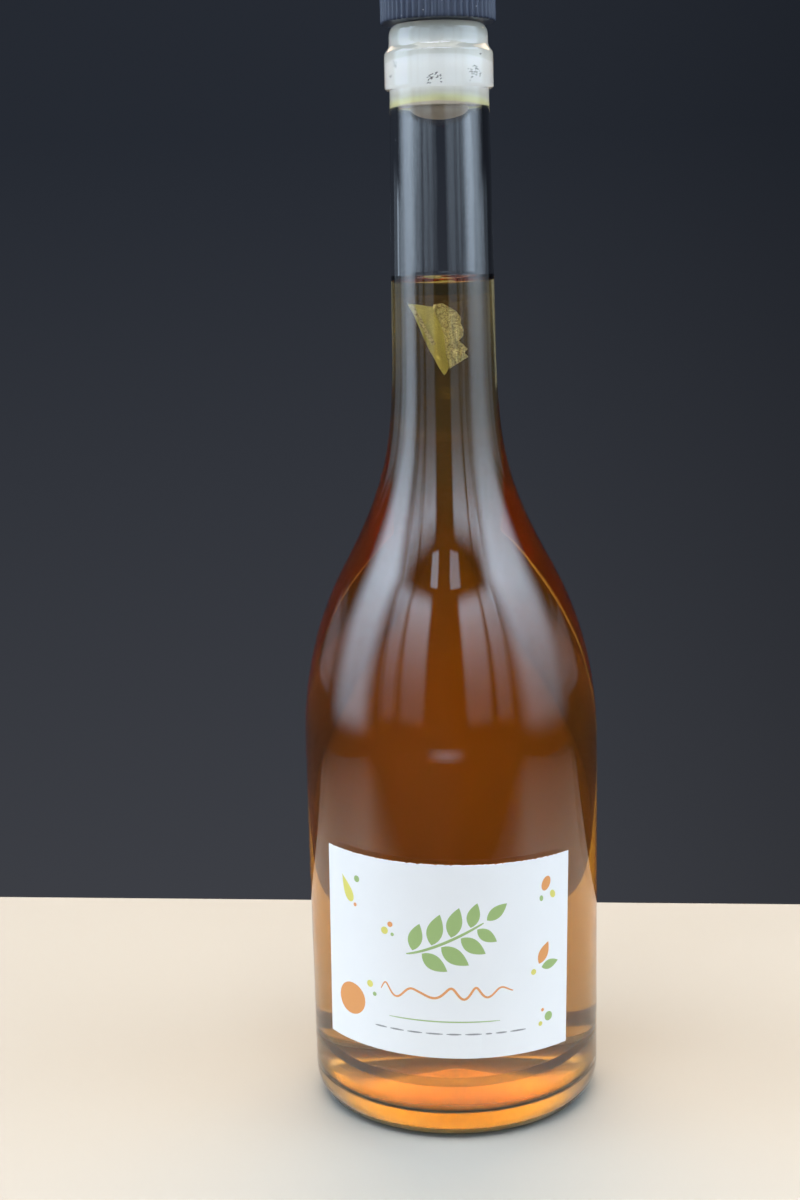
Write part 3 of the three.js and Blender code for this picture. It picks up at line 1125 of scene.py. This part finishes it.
def make_dust_and_glint():
    """Pale specks of dust all over the glass above the label, and one pale fleck on the ring that is a
    painted highlight.
    """
    draw = random.Random(8)
    # The first fleck is a painted highlight: a glint on the ring's front, drawn as a pale fleck
    flecks = [fleck(math.radians(38), 257.4 * MM, 0.7 * MM, 0.5 * MM, 0.2)]
    for _ in range(DUST_COUNT):
        angle = draw.uniform(0, 2 * math.pi)
        size = draw.uniform(0.08, 0.2) * MM
        flecks.append(fleck(angle, draw.uniform(100, 254) * MM, size, size * 0.8, draw.uniform(0, 3)))
    make_flecks("dust", flecks, dirt_material("pale_dust_and_glint", DUST_AND_GLINT_COLOUR, 0.9))


# Stage

# The floor lies a hair under the foot, so that their faces never meet
FLOOR_DROP = -0.05 * MM
FLOOR_BACK = 142 * MM
FLOOR_FRONT = 210 * MM
FLOOR_HALF = 420 * MM
FLOOR_COLOUR = (0.372, 0.361, 0.328, 1)
# Painted shade: towards its front and sides the floor darkens to this colour, starting at the share of
# the way out given next
FLOOR_PAINTED_SHADE_COLOUR = (0.008, 0.008, 0.008, 1)
FLOOR_FADES_FROM = 0.38
ROOM_LOW = (0.047, 0.050, 0.060, 1)
ROOM_HIGH = (0.019, 0.023, 0.032, 1)
# Between which directions, as parts of a unit vector, the room darkens upwards and to the right
ROOM_UPWARD = (-0.34, 0.06)
ROOM_ACROSS = (-0.05, 0.25)
ROOM_RIGHT_SHARE = 0.5
STAGE_MIDDLE = Vector((0, 0, 140 * MM))

# Colours of light
COOL = (0.68, 0.83, 1.0)
WARM = (1.0, 0.93, 0.84)
PLAIN = (1, 1, 1)
AMBER = (1.0, 0.74, 0.50)
# Soft boxes as seen from the bottle: colour, azimuth and elevation in degrees, distance in metres,
# width and height in degrees, light at its lower and upper edge, softness of its sides, and rise
SOFT_BOXES = (
    ("left_window", COOL, -82, 22, 0.75, 52, 68, 1.6, 9.5, 0.35, 1.8),
    ("right_window", COOL, 85, 22, 0.75, 62, 68, 0.7, 9.2, 0.35, 1.8),
    ("left_wall", COOL, -118, 2, 0.9, 30, 16, 0.45, 0.45, 0.3, 1.3),
    ("right_wall", COOL, 118, 2, 0.9, 30, 16, 0.4, 0.4, 0.3, 1.3),
    ("left_panel", COOL, -27, 17, 1.0, 25, 46, 0.3, 3.8, 0.2, 2.2),
    ("left_frame", COOL, -48, 17, 1.0, 14, 46, 0.3, 3.8, 0.1, 2.2),
    ("right_panel", COOL, 27, 17, 1.0, 25, 46, 0.3, 3.6, 0.2, 2.2),
    ("right_frame", COOL, 48, 17, 1.0, 14, 46, 0.3, 3.6, 0.1, 2.2),
    ("low_glint", COOL, 0, -13, 1.0, 34, 3, 0.9, 0.9, 0.5, 1.3),
    ("left_glint", COOL, -14, 46, 1.0, 8, 6, 5.0, 5.0, 0.2, 1.3),
    ("right_glint", COOL, 13, 46, 1.0, 11, 6, 4.0, 4.0, 0.2, 1.3),
    ("high_key", WARM, 0, 70, 1.0, 90, 36, 1.0, 4.8, 0.3, 1.3),
    ("high_bar", PLAIN, -4, 60, 0.9, 58, 8, 22, 22, 0.3, 1.3),
    ("high_back", AMBER, 180, 46, 1.6, 80, 44, 5.2, 5.2, 0.2, 1.3),
)
EDGE_SOFTNESS = 0.12


def make_floor():
    """A pale board that ends behind the bottle, with painted shade that darkens it outside the camera's
    view.
    """
    left_to_right = (-FLOOR_HALF, FLOOR_HALF)
    corners = [(x, -FLOOR_FRONT, FLOOR_DROP) for x in left_to_right]
    corners += [(x, FLOOR_BACK, FLOOR_DROP) for x in left_to_right[::-1]]
    material, tree, shader = new_material("pale_floor", roughness=0.6)
    parts = parts_of(tree, tree.nodes.new("ShaderNodeTexCoord").outputs["Object"])
    sideways = maths(tree, "DIVIDE", maths(tree, "ABSOLUTE", parts[0]), FLOOR_HALF)
    forward = maths(tree, "DIVIDE", parts[1], -FLOOR_FRONT)
    fade = mapped(tree, maths(tree, "MAXIMUM", sideways, forward), FLOOR_FADES_FROM, 1, smooth=True)
    shade = colour_mix(tree, fade, FLOOR_COLOUR, FLOOR_PAINTED_SHADE_COLOUR)
    tree.links.new(shade, shader.inputs["Base Color"])
    data = mesh_from("floor", corners, [(0, 1, 2, 3)], [material])
    floor = bpy.data.objects.new("floor", data)
    bpy.context.scene.collection.objects.link(floor)


def make_world():
    """A dark room, slightly lighter towards the floor and the left."""
    world = bpy.data.worlds.new("room")
    world.use_nodes = True
    tree = world.node_tree
    parts = parts_of(tree, tree.nodes.new("ShaderNodeTexCoord").outputs["Generated"])
    shade = colour_mix(tree, mapped(tree, parts[2], *ROOM_UPWARD), ROOM_LOW, ROOM_HIGH)
    across = mapped(tree, parts[0], *ROOM_ACROSS, 1, ROOM_RIGHT_SHARE)
    tree.links.new(across, tree.nodes["Background"].inputs["Strength"])
    tree.links.new(shade, tree.nodes["Background"].inputs["Color"])
    bpy.context.scene.world = world


def edge_share(tree, value, softness):
    """Nought at both ends of 0 to 1, and one from the given softness inwards."""
    near = maths(tree, "MINIMUM", value, maths(tree, "SUBTRACT", 1.0, value))
    return mapped(tree, near, 0, softness, smooth=True)


def soft_box(name, colour, azimuth, elevation, distance, wide, high, low_light, high_light,
             softness, rise):
    """One row of the table: an area light that the camera doesn't see, brighter towards its top."""
    a, e = math.radians(azimuth), math.radians(elevation)
    toward = Vector((math.cos(e) * math.sin(a), -math.cos(e) * math.cos(a), math.sin(e)))
    data = bpy.data.lights.new(name, "AREA")
    data.shape = "RECTANGLE"
    data.size = 2 * distance * math.tan(math.radians(wide / 2))
    data.size_y = 2 * distance * math.tan(math.radians(high / 2))
    data.color = colour
    data.energy = math.pi * data.size * data.size_y
    data.use_nodes = True
    tree = data.node_tree
    across, upward, _ = parts_of(tree, tree.nodes.new("ShaderNodeNewGeometry").outputs["Parametric"])
    climb = maths(tree, "MULTIPLY_ADD", maths(tree, "POWER", upward, rise), high_light - low_light,
                  low_light)
    edges = maths(tree, "MULTIPLY", edge_share(tree, across, softness),
                  edge_share(tree, upward, EDGE_SOFTNESS))
    strength = maths(tree, "MULTIPLY", climb, edges)
    tree.links.new(strength, tree.nodes["Emission"].inputs["Strength"])
    light = bpy.data.objects.new(name, data)
    light.location = STAGE_MIDDLE + toward * distance
    light.rotation_mode = "QUATERNION"
    light.rotation_quaternion = toward.to_track_quat("Z", "Y")
    light.visible_camera = False
    bpy.context.scene.collection.objects.link(light)


def make_lights():
    """Windows at both sides, dim panels in front with a gap between them, and light from above."""
    for row in SOFT_BOXES:
        soft_box(*row)


def set_view():
    scene = bpy.context.scene
    scene.view_settings.view_transform = "Standard"
    scene.view_settings.look = "None"
    scene.cycles.max_bounces = 24
    scene.cycles.transmission_bounces = 20
    scene.cycles.glossy_bounces = 8
    scene.cycles.transparent_max_bounces = 12
    scene.cycles.volume_bounces = 2


make_camera()
set_view()
make_world()
make_lights()
make_floor()
mottle = build_mottle_group()
specks = build_speck_group()
make_glass()
make_vinegar()
for core in HAZE_CORES:
    make_haze(core)
make_flake(mottle)
make_label(mottle)
make_shank(mottle)
make_head(mottle, specks)
make_scuffs()
make_dust_and_glint()
